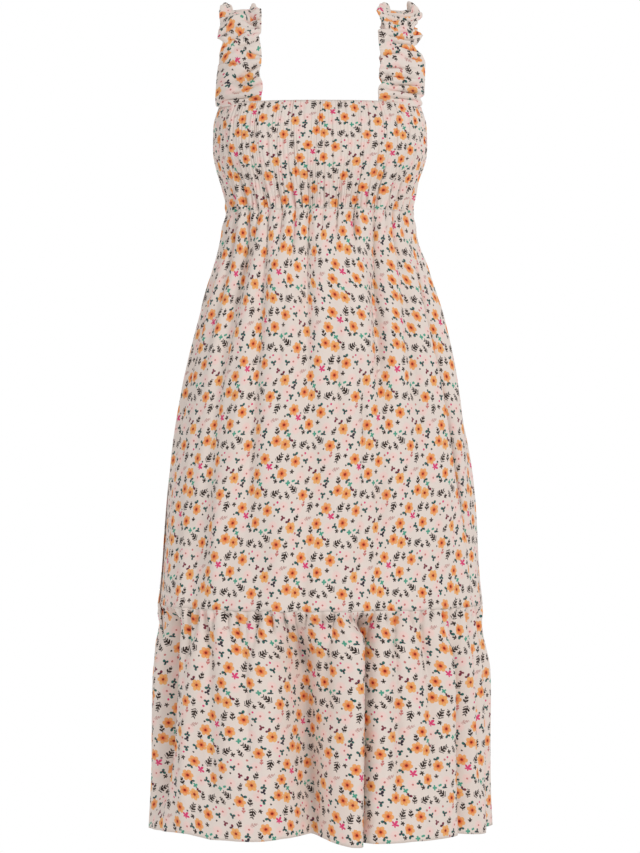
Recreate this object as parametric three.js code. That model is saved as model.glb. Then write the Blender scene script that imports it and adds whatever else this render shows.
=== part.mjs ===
// A midi sundress, worn and filled out with no wearer: a shirred bodice on two frilled
// straps, a gathered skirt and a gathered ruffle tier below it. Millimetres, +Z up,
// the front faces -Y. The origin is on the line where the shoulders carry the straps.
import * as THREE from "three";

// Heights of the seams and edges, below the shoulder line.
const NECK_Z = -140;
const WAIST_Z = -290;
const TIER_Z = -842;
const HEM_Z = -1157;
const SEAM_GAP = 0.3;

// Wall thicknesses: one layer of light cloth, the shirred bodice, and a doubled strap.
const CLOTH_WALL = 1.6;
const SHIRRED_WALL = 2.2;
const STRAP_WALL = 2.4;

// The worn form, as rings: half width, depth to the front and depth to the back of the
// outside of the cloth at each height, and how square the ring is (2 is an ellipse).
const sections = [
  { z: NECK_Z, half: 143.5, front: 101, back: 88, square: 2.6 },
  { z: -168, half: 151, front: 115, back: 91, square: 2.5 },
  { z: -197, half: 151.5, front: 121, back: 92, square: 2.4 },
  { z: -226, half: 148, front: 118, back: 90, square: 2.35 },
  { z: -254, half: 141, front: 109, back: 85, square: 2.3 },
  { z: WAIST_Z, half: 134, front: 98, back: 79, square: 2.25 },
  { z: -311, half: 138.5, front: 102, back: 85, square: 2.2 },
  { z: -368, half: 154, front: 115, back: 102, square: 2.15 },
  { z: -440, half: 173, front: 130, back: 121, square: 2.1 },
  { z: -538, half: 195, front: 146, back: 141, square: 2.05 },
  { z: -652, half: 214, front: 159, back: 157, square: 2 },
  { z: TIER_Z, half: 230, front: 171, back: 174, square: 2 },
  { z: -885, half: 237, front: 178, back: 181, square: 2 },
  { z: -965, half: 241.5, front: 184, back: 187, square: 2 },
  { z: HEM_Z, half: 245, front: 190, back: 194, square: 2 },
];

// Gathers: how many in a full ring, how far they stand, and how far down they reach.
const WAIST_GATHERS = { count: 28, height: 5.2, reach: 95 };
const TIER_GATHERS = { count: 28, height: 4.4, reach: 60 };
const BODICE_PLEAT_REACH = 70;

// Long folds of the skirt: troughs in the worn form. Angles are in degrees round the
// body, 0 at the front centre and positive towards +X, at the top and foot of the tier.
// Half is a trough's half width in degrees, deep its depth in millimetres, and lean how
// far its +X bank (or its -X bank, when negative) folds over it.
const skirtFolds = [
  { top: -76, low: -80, half: 8, deep: 9, lean: 0 },
  { top: -45, low: -53, half: 9, deep: 12, lean: 0 },
  { top: -30, low: -27, half: 7, deep: 9, lean: 0 },
  { top: -7, low: -4, half: 7, deep: 9, lean: 0 },
  { top: 11, low: 5, half: 5, deep: 4, lean: 0 },
  { top: 31, low: 18, half: 7, deep: 10, lean: 0 },
  { top: 48, low: 42, half: 8, deep: 6, lean: 0 },
  { top: 66, low: 75, half: 7, deep: 12, lean: -3 },
  { top: 96, low: 101, half: 8, deep: 9, lean: 0 },
  { top: 121, low: 124, half: 8, deep: 11, lean: 0 },
  { top: 147, low: 150, half: 9, deep: 9, lean: 0 },
  { top: 172, low: 177, half: 8, deep: 11, lean: 0 },
  { top: 199, low: 203, half: 8, deep: 9, lean: 0 },
  { top: 226, low: 229, half: 9, deep: 12, lean: 0 },
  { top: 253, low: 255, half: 8, deep: 9, lean: 0 },
];

// Folds of the ruffle tier, in the same terms, with the share of the tier's height at
// which each one ends.
const ruffleFolds = [
  { top: -86, low: -90, half: 6, deep: 14, lean: 0, ends: 1 },
  { top: -66, low: -68, half: 6, deep: 22, lean: 0, ends: 1 },
  { top: -41, low: -39, half: 6, deep: 10, lean: 0, ends: 0.8 },
  { top: -27, low: -23, half: 5, deep: 8, lean: 0, ends: 0.6 },
  { top: -9, low: -5.5, half: 7.5, deep: 25, lean: 0, ends: 1 },
  { top: 15, low: 14.5, half: 5.2, deep: 25, lean: -9, ends: 1 },
  { top: 27, low: 27, half: 5, deep: 10, lean: 0, ends: 0.8 },
  { top: 39, low: 40, half: 5, deep: 9, lean: 0, ends: 0.6 },
  { top: 54, low: 59, half: 6, deep: 20, lean: -9, ends: 1 },
  { top: 77, low: 80, half: 6.5, deep: 14, lean: 0, ends: 1 },
  { top: 101, low: 104, half: 7, deep: 20, lean: 5, ends: 1 },
  { top: 125, low: 122, half: 6, deep: 12, lean: 0, ends: 0.8 },
  { top: 143, low: 146, half: 7, deep: 22, lean: -6, ends: 1 },
  { top: 166, low: 165, half: 6, deep: 11, lean: 0, ends: 0.8 },
  { top: 187, low: 189, half: 7.5, deep: 24, lean: 6, ends: 1 },
  { top: 209, low: 207, half: 6, deep: 12, lean: 0, ends: 0.7 },
  { top: 228, low: 231, half: 7, deep: 21, lean: 0, ends: 1 },
  { top: 250, low: 250, half: 6.5, deep: 14, lean: 0, ends: 1 },
];

// The straps stand on the neck edge and arch over the shoulders. Their feet follow a
// ring of their own, a little wider than the neck's, so that the outer frills stand free.
const STRAP_SPACING = 225;
const STRAP_WIDTH = 66;
const STRAP_TOP = 2;
const STRAP_RING = { half: 158, front: 98, back: 86, square: 2.6 };
const STRAP_SLOPE = 4;
const STRAP_FRILLS = 8;
const FRILL_HEIGHT = 5;
const FRILL_CURL = 3.5;
const CASING_SHARE = 0.4;

// Grid of the walls: columns in half a ring, and columns and rows of a strap.
const HALF_COLUMNS = 56;
const STRAP_COLUMNS = 6;
const FRILL_ROWS = 4;

const RADIANS = Math.PI / 180;
const STEP = 1e-3;
const CLOTH_COLOUR = new THREE.Color(0.86, 0.77, 0.7);

const clamp01 = (x) => Math.min(1, Math.max(0, x));
const smooth = (x) => {
  const t = clamp01(x);
  return t * t * (3 - 2 * t);
};

// A cubic through the table's rows that doesn't overshoot, for one named column.
function along(rows, column, z) {
  const last = rows.length - 1;
  let i = 0;
  while (i < last - 1 && z < rows[i + 1].z) i += 1;
  const slope = (k) => (rows[k + 1][column] - rows[k][column]) / (rows[k + 1].z - rows[k].z);
  const tangent = (k) => {
    if (k === 0) return slope(0);
    if (k === last) return slope(last - 1);
    const before = slope(k - 1);
    const after = slope(k);
    return before * after <= 0 ? 0 : (2 * before * after) / (before + after);
  };
  const span = rows[i + 1].z - rows[i].z;
  const t = clamp01((z - rows[i].z) / span);
  return (
    rows[i][column] * (1 + 2 * t) * (1 - t) ** 2 +
    tangent(i) * span * t * (1 - t) ** 2 +
    rows[i + 1][column] * t * t * (3 - 2 * t) +
    tangent(i + 1) * span * t * t * (t - 1)
  );
}

// A point on a ring, at an angle round the body.
function ringPoint(ring, angle) {
  const sine = Math.sin(angle);
  const cosine = Math.cos(angle);
  const depth = cosine > 0 ? ring.front : ring.back;
  const reach = (Math.abs(sine) ** ring.square + Math.abs(cosine) ** ring.square) ** (-1 / ring.square);
  return new THREE.Vector2(ring.half * sine * reach, -depth * cosine * reach);
}

// A point on the worn form, moved out and sideways from it by the folds.
function formPoint(angle, z, out, sideways) {
  const ring = {};
  for (const column of ["half", "front", "back", "square"]) ring[column] = along(sections, column, z);
  const place = ringPoint(ring, angle);
  const across = ringPoint(ring, angle + STEP).sub(ringPoint(ring, angle - STEP)).normalize();
  const normal = new THREE.Vector2(across.y, -across.x);
  place.addScaledVector(normal, out).addScaledVector(across, sideways);
  return new THREE.Vector3(place.x, place.y, z);
}

// Evenly counted but unevenly spaced gathers, from 0 in the creases to 1 on the ridges.
function gather(angle, count) {
  const uneven = angle + 0.05 * Math.sin(3 * angle + 0.6) + 0.03 * Math.sin(7 * angle + 2.1);
  return 0.5 + 0.5 * Math.cos(count * uneven);
}

// The shortest way round from one angle to another, in degrees.
function turnBetween(a, b) {
  return ((((a - b) % 360) + 540) % 360) - 180;
}

// How far a row of folds takes the cloth in and sideways, at a share of the tier's height.
function foldShift(folds, angle, share, depthShare) {
  const shift = { out: 0, sideways: 0 };
  for (const fold of folds) {
    const centre = fold.top + (fold.low - fold.top) * share;
    const off = turnBetween(angle / RADIANS, centre) / fold.half;
    if (Math.abs(off) > 3.5) continue;
    const ends = fold.ends ?? 1;
    const alive = depthShare * (ends < 1 ? 1 - smooth((share - ends + 0.25) / 0.4) : 1);
    shift.out -= fold.deep * alive * Math.exp(-off * off);
    const bank = off + 1.5 * Math.sign(-fold.lean || 1);
    shift.sideways -= fold.lean * alive * Math.exp(-bank * bank);
  }
  return shift;
}

// The cloth's outside at a height, for each of the three tiers of the dress.
function bodicePoint(angle, z) {
  const pleats = WAIST_GATHERS.height * smooth(1 - (z - WAIST_Z) / BODICE_PLEAT_REACH);
  return formPoint(angle, z, pleats * (gather(angle, WAIST_GATHERS.count) - 1), 0);
}

function skirtPoint(angle, z) {
  const share = (z - WAIST_Z) / (TIER_Z - WAIST_Z);
  const gathered = WAIST_GATHERS.height * Math.exp(-(((WAIST_Z - z) / WAIST_GATHERS.reach) ** 2));
  const wide = smooth(share / 0.12) * (1 - 0.6 * smooth((share - 0.45) / 0.55));
  const shift = foldShift(skirtFolds, angle, share, wide);
  const out = gathered * (gather(angle, WAIST_GATHERS.count) - 1) + shift.out;
  return formPoint(angle, z, out, shift.sideways);
}

function rufflePoint(angle, z) {
  const share = (z - TIER_Z) / (HEM_Z - TIER_Z);
  const below = TIER_Z - z;
  const gathered = TIER_GATHERS.height * Math.exp(-((below / TIER_GATHERS.reach) ** 2));
  const seam = foldShift(skirtFolds, angle, 1, 0.4 * (1 - smooth(share / 0.3)));
  const fold = foldShift(ruffleFolds, angle, share, smooth(share / 0.22));
  const out = gathered * smooth(below / 12) * (gather(angle, TIER_GATHERS.count) - 1);
  return formPoint(angle, z, out + seam.out + fold.out, seam.sideways + fold.sideways);
}

// How far from the axis a ring lies, to the front or back, at a distance to the side.
function ringDepth(ring, depth, x) {
  return depth * (1 - (Math.abs(x) / ring.half) ** ring.square) ** (1 / ring.square);
}

// The strap's outside, from its front foot (0) to its back foot (1), and across it from
// its -X edge (-1) to its +X edge (1). Its middle is drawn in by elastic, its edges frill.
function strapPoint(side, length, across) {
  const turn = Math.PI * length;
  const loose = smooth((Math.abs(across) - CASING_SHARE) / (1 - CASING_SHARE));
  const free = smooth(Math.sin(turn) / 0.35);
  const wave = 2 * Math.PI * STRAP_FRILLS * length + (across > 0 ? 0 : 1.9);
  const drawnIn = (FRILL_CURL / 2) * loose * free * (1 + Math.cos(2 * wave));
  const x = side * (STRAP_SPACING / 2) + across * (STRAP_WIDTH / 2 - drawnIn);
  const front = -ringDepth(STRAP_RING, STRAP_RING.front, x);
  const back = ringDepth(STRAP_RING, STRAP_RING.back, x);
  const radius = (back - front) / 2;
  const foot = NECK_Z + SEAM_GAP;
  const rise = STRAP_TOP - side * across * STRAP_SLOPE - foot;
  const away = new THREE.Vector2(-Math.cos(turn) * rise, Math.sin(turn) * radius).normalize();
  const lift = FRILL_HEIGHT * loose * free * Math.sin(wave);
  const curl = FRILL_CURL * loose * free * Math.cos(wave);
  return new THREE.Vector3(
    x,
    (front + back) / 2 - radius * Math.cos(turn) + away.x * lift + away.y * curl,
    foot + rise * Math.sin(turn) + away.y * lift - away.x * curl,
  );
}

// A closed wall of cloth: its outside follows pointAt over a grid of columns and rows,
// each 0 to 1, and its inside lies one thickness behind it. A wall that is square to its
// edges keeps them level along its rows, and at its sides in a plane through the axis.
function clothWall(columns, rows, thickness, squareEdges, pointAt) {
  const outside = [];
  const inside = [];
  for (let j = 0; j <= rows; j += 1) {
    for (let i = 0; i <= columns; i += 1) {
      const u = i / columns;
      const v = j / rows;
      const point = pointAt(u, v);
      const alongU = pointAt(clamp01(u + STEP), v).sub(pointAt(clamp01(u - STEP), v));
      const alongV = pointAt(u, clamp01(v + STEP)).sub(pointAt(u, clamp01(v - STEP)));
      const inward = alongU.cross(alongV);
      if (squareEdges) inward.setZ(0);
      if (squareEdges && (i === 0 || i === columns)) inward.setY(0);
      outside.push(point);
      inside.push(point.clone().addScaledVector(inward.normalize(), thickness));
    }
  }
  const across = columns + 1;
  const layer = outside.length;
  const at = (i, j) => j * across + i;
  const faces = [];
  const quad = (a, b, c, d) => faces.push(a, b, c, a, c, d);
  for (let j = 0; j < rows; j += 1) {
    for (let i = 0; i < columns; i += 1) {
      quad(at(i, j), at(i, j + 1), at(i + 1, j + 1), at(i + 1, j));
      quad(layer + at(i, j), layer + at(i + 1, j), layer + at(i + 1, j + 1), layer + at(i, j + 1));
    }
  }
  for (let i = 0; i < columns; i += 1) {
    quad(at(i, 0), at(i + 1, 0), layer + at(i + 1, 0), layer + at(i, 0));
    quad(at(i + 1, rows), at(i, rows), layer + at(i, rows), layer + at(i + 1, rows));
  }
  for (let j = 0; j < rows; j += 1) {
    quad(at(0, j + 1), at(0, j), layer + at(0, j), layer + at(0, j + 1));
    quad(at(columns, j), at(columns, j + 1), layer + at(columns, j + 1), layer + at(columns, j));
  }
  const geometry = new THREE.BufferGeometry().setFromPoints([...outside, ...inside]);
  geometry.setIndex(faces);
  geometry.computeVertexNormals();
  return geometry;
}

function piece(name, geometry) {
  const material = new THREE.MeshStandardMaterial({ color: CLOTH_COLOUR, roughness: 0.7, metalness: 0 });
  const mesh = new THREE.Mesh(geometry, material);
  mesh.name = name;
  return mesh;
}

// Half a tube of cloth between two heights, in front (0) or behind (1). Rows crowd
// towards the top, where the gathers are.
function halfTube(behind, tier) {
  const inset = SEAM_GAP / 2 / along(sections, "back", tier.top);
  const start = -Math.PI / 2 + Math.PI * behind + inset;
  const sweep = Math.PI - 2 * inset;
  return clothWall(HALF_COLUMNS, tier.rows, tier.wall, true, (u, v) =>
    tier.at(start + sweep * u, tier.top + (tier.foot - tier.top) * v ** tier.crowding),
  );
}

const tiers = [
  { name: "bodice", top: NECK_Z, foot: WAIST_Z + SEAM_GAP, at: bodicePoint, wall: SHIRRED_WALL, rows: 5, crowding: 1 },
  { name: "skirt", top: WAIST_Z, foot: TIER_Z + SEAM_GAP, at: skirtPoint, wall: CLOTH_WALL, rows: 6, crowding: 1.5 },
  { name: "ruffle", top: TIER_Z, foot: HEM_Z, at: rufflePoint, wall: CLOTH_WALL, rows: 4, crowding: 1.4 },
];

const dress = new THREE.Group();
dress.name = "midi_dress";

for (const tier of tiers) {
  dress.add(piece(tier.name + "_front", halfTube(0, tier)));
  dress.add(piece(tier.name + "_back", halfTube(1, tier)));
}

for (const [name, side] of [["strap_left", 1], ["strap_right", -1]]) {
  const pointAt = (u, v) => strapPoint(side, 1 - v, 2 * u - 1);
  dress.add(piece(name, clothWall(STRAP_COLUMNS, FRILL_ROWS * STRAP_FRILLS, STRAP_WALL, false, pointAt)));
}

export default dress;
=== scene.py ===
"""A midi sundress, worn and filled out with no wearer: a shirred bodice on two frilled straps,
a gathered skirt and a gathered ruffle tier, in cream crepe with a small scattered flower print.

The front faces -Y and the origin is on the line of the shoulders. Every sheet of cloth is a
grid laid on the rings of the worn form and moved by its gathers and folds. Lengths in the
tables are in millimetres; the meshes are in metres.
"""
import math
from functools import partialmethod

import bmesh
import bpy
import numpy as np
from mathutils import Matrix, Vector


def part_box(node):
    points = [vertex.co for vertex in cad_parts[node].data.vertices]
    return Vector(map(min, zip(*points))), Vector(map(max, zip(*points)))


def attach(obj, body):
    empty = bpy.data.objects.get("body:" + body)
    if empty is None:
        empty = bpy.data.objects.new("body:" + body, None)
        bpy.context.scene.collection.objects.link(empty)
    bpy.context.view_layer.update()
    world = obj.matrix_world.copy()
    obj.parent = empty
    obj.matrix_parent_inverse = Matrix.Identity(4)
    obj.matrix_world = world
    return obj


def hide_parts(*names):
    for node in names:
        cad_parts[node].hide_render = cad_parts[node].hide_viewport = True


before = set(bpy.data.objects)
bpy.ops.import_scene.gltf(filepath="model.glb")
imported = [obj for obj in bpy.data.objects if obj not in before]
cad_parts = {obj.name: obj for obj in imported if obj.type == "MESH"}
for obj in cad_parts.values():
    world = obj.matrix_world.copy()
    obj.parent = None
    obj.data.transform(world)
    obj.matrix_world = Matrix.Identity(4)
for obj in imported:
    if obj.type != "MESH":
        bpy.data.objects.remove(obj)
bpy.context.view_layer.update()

MM = 0.001


def node_top(node):
    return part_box(node)[1][2] / MM


def node_foot(node):
    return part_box(node)[0][2] / MM


NECK_Z = node_top("bodice_front")
WAIST_Z = node_top("skirt_front")
TIER_Z = node_top("ruffle_front")
HEM_Z = node_foot("ruffle_front")

# The worn form as rings: height, half width, depth to the front and to the back, and how
# square the ring is (2 is an ellipse).
RINGS = np.array([
    (NECK_Z, 143.5, 101, 88, 2.6),
    (-168, 151, 115, 91, 2.5),
    (-197, 151.5, 121, 92, 2.4),
    (-226, 148, 118, 90, 2.35),
    (-254, 141, 109, 85, 2.3),
    (WAIST_Z, 134, 98, 79, 2.25),
    (-311, 138.5, 102, 85, 2.2),
    (-368, 154, 115, 102, 2.15),
    (-440, 173, 130, 121, 2.1),
    (-538, 195, 146, 141, 2.05),
    (-652, 214, 159, 157, 2),
    (TIER_Z, 230, 171, 174, 2),
    (-885, 237, 178, 181, 2),
    (-965, 241.5, 184, 187, 2),
    (HEM_Z, 245, 190, 194, 2),
])

# Long folds of the skirt: the angle round the body in degrees at the top and at the foot of
# the tier (0 is the front centre, positive towards +X), half width in degrees, depth, how
# far the bank leans over the trough (positive towards +X), and the shares of the tier's
# height where the fold begins and ends.
SKIRT_FOLDS = [
    # top, low, half, deep, lean, begins, ends
    (-77, -81, 7, 9, 0, 0.05, 1.3),
    (-60, -66, 7, 6, 0, 0.0, 0.9),
    (-45, -52, 6.5, 15, 0, 0.02, 1.05),
    (-30, -28, 5.5, 15, 0, 0.04, 0.95),
    (-17, -18, 4, 5, 0, 0.02, 0.6),
    (-7, -4.5, 5.5, 13, 0, 0.03, 1.05),
    (10, 4, 3.5, 5, 0, 0.25, 1.0),
    (23, 11.8, 2.2, 8, 0, 0.36, 1.0),
    (31, 21, 5.5, 15, 0, 0.03, 1.2),
    (48, 40, 6, 9, 0, 0.06, 0.95),
    (63, 70, 4.2, 17, -14, 0.06, 0.9),
    (72, 79, 4.5, -5, 0, 0.06, 0.9),
    (96, 101, 7, 13, 0, 0.05, 1.05),
    (121, 124, 6.5, 15, 0, 0.05, 0.95),
    (147, 150, 6, 13, 0, 0.05, 1.2),
    (172, 177, 6, 15, 0, 0.05, 1.0),
    (199, 203, 7, 13, 0, 0.1, 0.9),
    (226, 229, 6, 16, 0, 0.05, 1.2),
    (253, 255, 7, 13, 0, 0.1, 0.95),
]

# Folds of the ruffle tier, in the same terms.
RUFFLE_FOLDS = [
    (-86, -90, 5, 16, 0, 0.0, 1.3),
    (-66.5, -70, 5.8, 56, 0, -0.1, 0.9),
    (-53, -55, 5, 7, 0, 0.0, 0.8),
    (-41, -39, 5, 13, 0, 0.0, 0.9),
    (-27, -22, 4.5, 11, 0, 0.0, 0.7),
    (-8.0, -3.8, 6.6, 70, 0, 0.0, 1.3),
    (1, 3, 6, 14, 0, -0.1, 1.3),
    (3, 4, 2.6, 7, 0, -0.05, 0.5),
    (9.4, 8.6, 3.2, -12, 0, 0.0, 1.6),
    (14.4, 13.6, 4.0, 52, 17, -0.1, 1.6),
    (27, 27, 4.5, 14, 0, -0.05, 0.9),
    (39, 41, 4.5, 12, 0, 0.0, 0.75),
    (54, 54, 4.2, 38, 13, 0.1, 1.6),
    (67, 68, 4, 9, 0, 0.0, 0.8),
    (79, 82, 5, 17, 0, -0.05, 1.3),
    (101, 104, 5, 26, -8, -0.05, 1.3),
    (125, 122, 5.5, 15, 0, 0.0, 0.9),
    (143, 146, 5, 28, 9, -0.05, 1.3),
    (166, 165, 5.5, 14, 0, 0.0, 0.8),
    (187, 189, 5.2, 30, -10, -0.05, 1.3),
    (209, 207, 5.5, 15, 0, 0.0, 0.8),
    (228, 231, 5, 27, 0, -0.05, 1.3),
    (250, 250, 5.5, 17, 0, 0.0, 1.3),
]

# How far the cloth beside a crease is drawn over it, as a share of the crease's width.
CREASE_SHUT = 0.7
# Creases of the skirt at the waist: the angle at the seam, the angle where the crease
# ends, its length, depth and width.
WAIST_CREASES = [
    (-72, -74, 90, 5, 7), (-60, -63, 130, 6, 7), (-47, -50, 190, 7, 8), (-39, -43, 110, 4, 6),
    (-32, -31, 150, 5, 7), (-23, -24, 90, 5, 6), (-15, -15, 120, 5, 6), (-6.5, -7, 160, 6, 6),
    (2, 0, 60, 3, 5), (10.5, 8, 80, 4, 6), (21, 19, 70, 7, 6), (34, 28, 170, 6, 7),
    (42, 41, 70, 4, 5), (49, 46, 120, 6, 7), (57, 56, 90, 4, 6), (68, 68, 140, 5, 7),
    (80, 82, 80, 5, 7), (93, 95, 150, 6, 8), (106, 107, 90, 5, 6), (119, 121, 160, 6, 7),
    (131, 131, 70, 4, 6), (141, 143, 120, 6, 7), (152, 150, 90, 4, 6), (163, 164, 140, 5, 7),
    (174, 175, 170, 6, 7), (186, 187, 80, 4, 6), (197, 199, 130, 5, 7), (209, 208, 70, 4, 5),
    (220, 224, 160, 6, 7), (233, 234, 90, 4, 6), (245, 247, 120, 5, 7), (256, 256, 100, 5, 7),
    (270.5, 272, 130, 5, 7),
]


def smooth(x):
    t = np.clip(x, 0, 1)
    return t * t * (3 - 2 * t)


def along(rows, z):
    """Every column of a table of rings at the heights z, by a cubic that doesn't overshoot."""
    order = rows[::-1]
    heights, values = order[:, 0], order[:, 1:]
    steps = np.diff(heights)[:, None]
    slopes = np.diff(values, axis=0) / steps
    tangents = np.empty_like(values)
    tangents[0], tangents[-1] = slopes[0], slopes[-1]
    before, after = slopes[:-1], slopes[1:]
    total = np.where(before + after == 0, 1, before + after)
    tangents[1:-1] = np.where(before * after > 0, 2 * before * after / total, 0)
    i = np.clip(np.searchsorted(heights, z, side="right") - 1, 0, len(steps) - 1)
    span = steps[i, 0]
    t = np.clip((z - heights[i]) / span, 0, 1)[..., None]
    span = span[..., None]
    return (values[i] * (1 + 2 * t) * (1 - t) ** 2 + tangents[i] * span * t * (1 - t) ** 2
            + values[i + 1] * t * t * (3 - 2 * t) + tangents[i + 1] * span * t * t * (t - 1))


def ring_points(ring, angle):
    """Points on rings at angles round the body, as two arrays, x and y."""
    half, front, back, square = (ring[..., k] for k in range(4))
    sine, cosine = np.sin(angle), np.cos(angle)
    depth = np.where(cosine > 0, front, back)
    reach = (np.abs(sine) ** square + np.abs(cosine) ** square) ** (-1 / square)
    return half * sine * reach, -depth * cosine * reach


# Steps in which the length of half a ring is measured.
RING_STEPS = 720


def half_angles(ring, share, behind):
    """Angles that share out half a ring's length, in front (0) or behind (1)."""
    start = math.pi * (behind - 0.5)
    fine = np.linspace(start, start + math.pi, RING_STEPS + 1)
    angles = np.empty(share.shape)
    for row in range(len(ring)):
        x, y = ring_points(ring[row], fine)
        reached = np.concatenate([[0], np.cumsum(np.hypot(np.diff(x), np.diff(y)))])
        angles[row] = np.interp(share[row] * reached[-1], reached, fine)
    return angles


def ripple(x, y, seed, wave_x, wave_y, count=9):
    """Irregular soft waves of about these lengths, from -1 to 1 or so. The seed picks the waves."""
    random = np.random.default_rng(seed)
    total = 0
    for _ in range(count):
        kx = 2 * math.pi / (wave_x * random.uniform(0.6, 1.6))
        ky = 2 * math.pi / (wave_y * random.uniform(0.6, 1.6)) * random.choice([-1, 1])
        total = total + np.cos(kx * x + ky * y + random.uniform(0, 2 * math.pi))
    return total * math.sqrt(2 / count) * 0.7


def turn_between(a, b):
    """The shortest way round from b to a, in degrees."""
    return (a - b + 180) % 360 - 180


def lay_folds(folds, cloth, share):
    """How far a table of folds takes the cloth out and sideways. Narrow folds are drawn shut."""
    out, sideways = 0, 0
    for top, low, half, deep, lean, begins, ends in folds:
        off = turn_between(cloth.degrees, top + (low - top) * share) / half
        alive = smooth((share - begins) / 0.22) * (1 - smooth((share - ends + 0.25) / 0.35))
        out = out - deep * alive * np.exp(-np.abs(off) ** 1.7)
        shut = float(np.clip(1.6 - half / 4, 0, 0.8)) * (deep > 0)
        width = math.radians(half) * cloth.speed
        sideways = sideways - shut * width * alive * off * np.exp(-off ** 2)
        sideways = sideways + lean * alive * np.exp(-(off + 1.2 * np.sign(lean)) ** 2)
    return out, sideways


def lay_creases(creases, cloth, below, spread=80):
    """How far a table of creases that start at a seam takes the cloth in, and sideways.

    They widen as they go down, by their full width in each length called spread.
    """
    out, sideways = 0, 0
    for top, low, length, deep, wide in creases:
        share = np.clip(below / length, 0, 1)
        width = wide * (0.4 + below / spread)
        turn = np.radians(turn_between(cloth.degrees, top + (low - top) * share))
        off = turn * cloth.speed / width
        alive = 1 - smooth((share - 0.2) / 0.8)
        valley = 0.75 * np.exp(-np.abs(off) ** 1.35) + 0.6 * np.exp(-(off / 2.2) ** 2)
        out = out - deep * alive * valley
        sideways = sideways - CREASE_SHUT * width * alive * off * np.exp(-off ** 2)
    return out, sideways


def running_mean(values, count):
    """The mean down each column over that many rows about each place."""
    before = count // 2
    padded = np.pad(values, ((before + 1, count - before - 1), (0, 0)), mode="edge")
    padded[0] = 0
    total = np.cumsum(padded, axis=0)
    return (total[count:] - total[:-count]) / count


def shares_along(steps):
    """The share of each row's length that is reached before each of its steps and at its end."""
    return np.pad(np.cumsum(steps, axis=1), ((0, 0), (1, 0))) / steps.sum(axis=1)[:, None]


# How often the columns are laid again on the folds, and how the dives into the creases are
# found: the most that they can be lengthened, and how many times that range is halved.
SETTLE_ROUNDS = 3
LONGEST_DIVE = 40.0
HALVINGS = 24


class Cloth:
    """The cloth of one half of a tier, in front (0) or behind (1), laid on the worn form."""

    def __init__(self, tier, behind):
        rows, columns, crowding = GRIDS[tier]
        top, foot = HEIGHTS[tier]
        self.behind = behind
        self.evenly = EVENLY_GATHERED.get(tier)
        self.slowly = rows // 4
        self.drawn = DRAWN_AT_SEAM.get(tier)
        self.cut_width, self.cut_length = CUT[tier]
        u, v = np.linspace(0, 1, columns + 1), np.linspace(0, 1, rows + 1) ** crowding
        v, u = np.meshgrid(v, u, indexing="ij")
        self.z = top + (foot - top) * v
        self.below = top - self.z
        self.share = v
        self.ring = along(RINGS, self.z)
        self.down = v * self.cut_length
        self.lay(u)

    def lay(self, u):
        """Puts the columns at the shares u of the worn form's half rings."""
        self.u = u
        self.angle = half_angles(self.ring[:, 0], u, self.behind)
        self.degrees = np.degrees(self.angle)
        step = 1e-4
        x0, y0 = ring_points(self.ring, self.angle - step)
        x1, y1 = ring_points(self.ring, self.angle + step)
        self.speed = np.hypot(x1 - x0, y1 - y0) / (2 * step)
        self.tangent = (x1 - x0) / (2 * step * self.speed), (y1 - y0) / (2 * step * self.speed)
        self.round_it = (u + self.behind) * self.cut_width

    def place(self, out, sideways=0, lift=0):
        """The points of the cloth, moved out, sideways and up from the worn form."""
        x, y = ring_points(self.ring, self.angle)
        tx, ty = self.tangent
        return np.stack([x + ty * out + tx * sideways, y - tx * out + ty * sideways,
                         self.z + lift], axis=-1)

    def settle(self, shape):
        """Points for this cloth, with its columns drawn together where it turns in.

        The shape gives the points and the depth of its creases. What the worn form doesn't show
        of the cut is taken up in those creases, so the print runs into them as into real ones.
        How it is drawn changes slowly down the cloth, over about a quarter of the rows.
        """
        for _ in range(SETTLE_ROUNDS):
            points, creases = shape(self)
            steps = np.linalg.norm(np.diff(points, axis=1), axis=2)
            dives = np.abs(np.diff(creases, axis=1))
            cloth_steps = self.steps_of_cut(steps, dives)
            if self.evenly:
                cloth_steps = cloth_steps / running_mean(cloth_steps.T, self.evenly).T
            mixed = (shares_along(steps) + shares_along(cloth_steps)) / 2
            mixed = running_mean(mixed, self.slowly)
            if self.drawn:
                mixed[:self.drawn] = mixed[self.drawn]
                mixed = running_mean(mixed, 2 * self.slowly)
            self.across = (mixed + self.behind) * self.cut_width
            even = np.linspace(0, 1, mixed.shape[1])
            self.lay(np.stack([np.interp(even, row, u) for row, u in zip(mixed, self.u)]))
        return points

    def steps_of_cut(self, steps, dives):
        """The cut between neighbouring columns: each row's dives into its creases are made
        longer until the row takes up the whole width of the cut."""
        low, high = np.zeros(len(steps)), np.full(len(steps), LONGEST_DIVE)
        for _ in range(HALVINGS):
            pull = (low + high) / 2
            long = np.hypot(steps, pull[:, None] * dives).sum(axis=1) > self.cut_width
            low, high = np.where(long, low, pull), np.where(long, pull, high)
        return np.hypot(steps, low[:, None] * dives)


class Strip:
    """The cut of a plain strip of cloth, as the coordinates of a grid laid over it, by the
    lengths of its rows and columns. It is cut from the cloth at that place across."""

    def __init__(self, points, cut, cut_from):
        shares = []
        for axis in (1, 0):
            steps = np.linalg.norm(np.diff(points, axis=axis), axis=2)
            run = np.insert(np.cumsum(steps, axis=axis), 0, 0, axis=axis)
            run = run / run.max(axis=axis, keepdims=True)
            shares.append((run + run.mean(axis=1 - axis, keepdims=True)) / 2)
        self.across = shares[0] * cut[0] + cut_from
        self.down = shares[1] * cut[1]


def add_object(name, data):
    made = bpy.data.objects.new(name, data)
    bpy.context.scene.collection.objects.link(made)
    return made


def add_mesh(name, bm):
    mesh = bpy.data.meshes.new(name)
    bm.to_mesh(mesh)
    bm.free()
    return add_object(name, mesh)


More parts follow.
